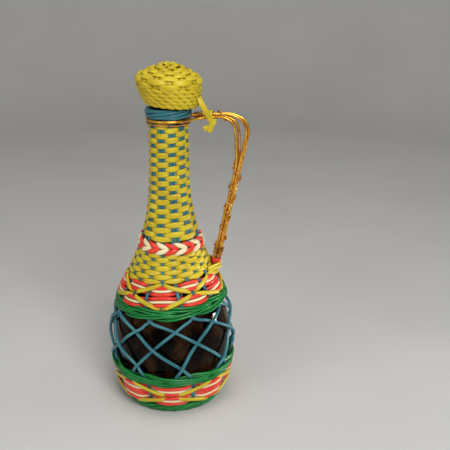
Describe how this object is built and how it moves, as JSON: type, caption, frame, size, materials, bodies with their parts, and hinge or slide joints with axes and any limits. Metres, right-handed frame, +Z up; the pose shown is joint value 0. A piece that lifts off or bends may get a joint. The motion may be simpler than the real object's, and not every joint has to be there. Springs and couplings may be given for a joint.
{
  "type": "covered bottle",
  "caption": "Glass bottle dressed in woven plastic cord, with striped bands, an open net on the belly, a bound wire handle and a woven stopper on a tether.",
  "frame": {"origin": "on the floor under the middle of the overall box; the bottle's axis stands at x = -4.225 mm", "axes": "+Z up along the bottle, +X towards the handle, -Y the front that faces the viewer"},
  "size_m": [0.1205, 0.1101, 0.2916],
  "materials": {
    "brown_glass": "gloss",
    "teal_cord": "satin gloss",
    "yellow_cord": "satin gloss",
    "coral_cord": "satin gloss",
    "cream_cord": "satin gloss",
    "green_cord": "satin gloss",
    "gold_wire": "bright drawn wire",
    "cork": "bare cork"
  },
  "bodies": {
    "bottle": {"glass_bottle": "brown_glass", "stake_pair_01": "teal_cord", "stake_pair_02": "teal_cord", "stake_pair_03": "teal_cord", "stake_pair_04": "teal_cord", "stake_pair_05": "teal_cord", "stake_pair_06": "teal_cord", "stake_pair_07": "teal_cord", "stake_pair_08": "teal_cord", "stake_pair_09": "teal_cord", "stake_pair_10": "teal_cord", "neck_weaver_1": "yellow_cord", "neck_weaver_2": "yellow_cord", "shoulder_weaver_1": "yellow_cord", "shoulder_weaver_2": "yellow_cord", "braid_coral_upper": "coral_cord", "braid_cream_upper": "cream_cord", "braid_coral_lower": "coral_cord", "braid_cream_lower": "cream_cord", "shoulder_band_upper_1": "coral_cord", "shoulder_band_upper_2": "cream_cord", "shoulder_band_upper_3": "coral_cord", "shoulder_band_cross_upper": "yellow_cord", "shoulder_band_lower_1": "coral_cord", "shoulder_band_lower_2": "cream_cord", "shoulder_band_lower_3": "coral_cord", "shoulder_band_cross_lower": "yellow_cord", "base_band_upper_1": "coral_cord", "base_band_upper_2": "cream_cord", "base_band_upper_3": "coral_cord", "base_band_cross_upper": "yellow_cord", "base_band_lower_1": "coral_cord", "base_band_lower_2": "cream_cord", "base_band_lower_3": "coral_cord", "base_band_cross_lower": "yellow_cord", "upper_ring_1": "green_cord", "upper_ring_2": "green_cord", "lower_ring_1": "green_cord", "lower_ring_2": "green_cord", "base_ring": "green_cord", "mouth_border_1": "teal_cord", "mouth_border_2": "teal_cord", "mouth_border_3": "teal_cord", "collar_wire": "gold_wire", "collar_lashing": "gold_wire", "handle_wire_outer_front": "gold_wire", "handle_wire_outer_back": "gold_wire", "handle_wire_inner_front": "gold_wire", "handle_wire_inner_back": "gold_wire", "handle_binding": "gold_wire", "tether_knot": "yellow_cord", "foot_tie": "coral_cord", "foot_wrap": "yellow_cord", "stopper_tether": "yellow_cord"},
    "stopper": {"stopper_cork": "cork", "stopper_cover": "yellow_cord"}
  },
  "joints": [
    {"name": "stopper_lift", "type": "slide", "parent": "bottle", "child": "stopper", "axis": [0, 0, 1], "range_m": [0, 0.0125], "deforming": ["stopper_tether"]}
  ]
}
